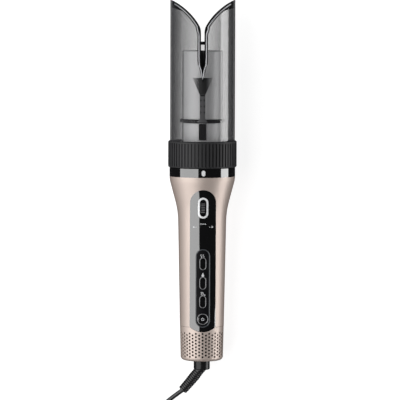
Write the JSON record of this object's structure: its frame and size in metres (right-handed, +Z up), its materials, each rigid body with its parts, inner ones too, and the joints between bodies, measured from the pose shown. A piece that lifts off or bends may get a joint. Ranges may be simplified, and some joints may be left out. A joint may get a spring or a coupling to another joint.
{
  "type": "automatic hair curler",
  "caption": "Handheld automatic hair curler with a smoked V-mouthed chamber over a turning heated barrel, ribbed lock ring, control panel, vented end cap and swivelling mains lead.",
  "frame": {"origin": "on the surface the tool lies on, under the middle of the tool's outline without its mains lead", "axes": "+Y along the tool from the cord end to the guard's mouth, +Z up out of the surface on the control panel's side, +X to the right seen with the mouth at the top"},
  "size_m": [0.0895, 0.5023, 0.0701],
  "materials": {
    "smoked_plastic": "clear smoked, polished",
    "black_gloss": "high gloss",
    "black_satin": "fine satin",
    "black_semi": "semi-gloss",
    "charcoal": "matte, ribbed",
    "champagne": "satin metallic lacquer",
    "chrome_trim": "polished",
    "barrel_coating": "ceramic coating, semi-gloss",
    "light_plastic": "satin",
    "steel": "turned",
    "brass_bush": "turned",
    "ceramic": "fired ceramic",
    "board_green": "solder mask",
    "inner_plastic": "moulded",
    "gear_plastic": "moulded acetal",
    "mica": "pressed mica",
    "cord_rubber": "satin black sheath",
    "filter_mesh": "woven",
    "pin_metal": "nickel plated"
  },
  "bodies": {
    "handle": {"handle_shell": "champagne", "control_panel": "black_gloss", "switch_bezel": "chrome_trim", "switch_well": "black_satin", "button_pad": "black_satin", "control_board": "board_green", "tact_switches": "black_satin", "board_screws": "steel", "neck_band": "black_gloss", "release_leaf_spring": "steel", "neck_sleeve": "black_satin", "chamber_floor": "black_satin", "barrel_pedestal": "barrel_coating", "pedestal_key_rib": "black_gloss", "pedestal_screws": "steel", "plate_standoffs": "inner_plastic", "motor_plate": "inner_plastic", "gear_motor": "steel", "spindle_bushes": "brass_bush", "core_post": "steel", "ceramic_heater_core": "ceramic", "core_thermostat": "steel", "air_duct": "inner_plastic", "fan_motor": "steel", "motor_struts": "inner_plastic", "air_heater_cross": "mica", "air_heater_coils": "steel", "thermal_fuse": "steel", "mains_wires": "cord_rubber", "tail_frame": "inner_plastic"},
    "guard": {"smoked_guard": "smoked_plastic", "mouth_rim_front": "black_satin", "mouth_rim_rear": "black_satin", "arrow_guide": "black_gloss"},
    "lock_ring": {"lock_ring": "charcoal"},
    "barrel": {"curl_barrel": "barrel_coating", "barrel_crown": "barrel_coating", "barrel_base_disc": "black_satin", "barrel_spindle": "steel", "drive_gear": "gear_plastic"},
    "pinion": {"motor_pinion": "brass_bush", "pinion_shaft": "steel"},
    "release_button": {"release_button": "chrome_trim"},
    "switch_slider": {"switch_slider": "black_satin"},
    "key_upper": {"key_upper": "black_gloss"},
    "key_middle": {"key_middle": "black_gloss"},
    "key_lower": {"key_lower": "black_gloss"},
    "power_button": {"power_button": "black_gloss"},
    "impeller": {"fan_impeller": "gear_plastic", "fan_shaft": "steel"},
    "filter_cap": {"filter_cap": "champagne", "filter_mesh": "filter_mesh"},
    "swivel": {"swivel_collar": "black_semi", "cord_boot": "cord_rubber", "cord_lead": "cord_rubber", "cord_coil": "cord_rubber", "cord_tail": "cord_rubber", "plug_body": "cord_rubber", "plug_pins": "pin_metal"}
  },
  "joints": [
    {"name": "barrel_spin", "type": "hinge", "parent": "handle", "child": "barrel", "pos_m": [0, 0.08854, 0.03614], "axis": [0, 0.9977, 0.0679], "continuous": true},
    {"name": "pinion_spin", "type": "hinge", "parent": "handle", "child": "pinion", "pos_m": [0, 0.01564, 0.01755], "axis": [0, 0.9977, 0.0679], "continuous": true},
    {"name": "guard_lift", "type": "slide", "parent": "handle", "child": "guard", "axis": [0, 0.9977, 0.0679], "range_m": [0, 0.11]},
    {"name": "ring_twist", "type": "hinge", "parent": "handle", "child": "lock_ring", "pos_m": [0, 0.02868, 0.03207], "axis": [0, 0.9977, 0.0679], "range_deg": [0, 30]},
    {"name": "release_press", "type": "slide", "parent": "handle", "child": "release_button", "axis": [-0.0349, 0.0678, -0.9971], "range_m": [0, 0.001], "stiffness_N_per_m": 400, "springref_m": -0.001},
    {"name": "switch_slide", "type": "slide", "parent": "handle", "child": "switch_slider", "axis": [0.0069, 0.9646, 0.2636], "range_m": [-0.0019, 0.0019]},
    {"name": "key_upper_press", "type": "slide", "parent": "handle", "child": "key_upper", "axis": [-0.0349, 0.0678, -0.9971], "range_m": [0, 0.0006], "stiffness_N_per_m": 500, "springref_m": -0.0006},
    {"name": "key_middle_press", "type": "slide", "parent": "handle", "child": "key_middle", "axis": [-0.0349, 0.0678, -0.9971], "range_m": [0, 0.0006], "stiffness_N_per_m": 500, "springref_m": -0.0006},
    {"name": "key_lower_press", "type": "slide", "parent": "handle", "child": "key_lower", "axis": [-0.0349, 0.0678, -0.9971], "range_m": [0, 0.0006], "stiffness_N_per_m": 500, "springref_m": -0.0006},
    {"name": "power_press", "type": "slide", "parent": "handle", "child": "power_button", "axis": [-0.0349, 0.0678, -0.9971], "range_m": [0, 0.0006], "stiffness_N_per_m": 500, "springref_m": -0.0006},
    {"name": "impeller_spin", "type": "hinge", "parent": "handle", "child": "impeller", "pos_m": [0, -0.08674, 0.01971], "axis": [0, 0.9977, 0.0679], "continuous": true},
    {"name": "cap_pull", "type": "slide", "parent": "handle", "child": "filter_cap", "axis": [0, -0.9977, -0.0679], "range_m": [0, 0.01]},
    {"name": "cord_swivel", "type": "hinge", "parent": "handle", "child": "swivel", "pos_m": [0, -0.16088, 0.01918], "axis": [0, 0.9977, 0.0679], "continuous": true}
  ],
  "couplings": [
    {"joint": "pinion_spin", "follows": "barrel_spin", "ratio": -2.4}
  ]
}
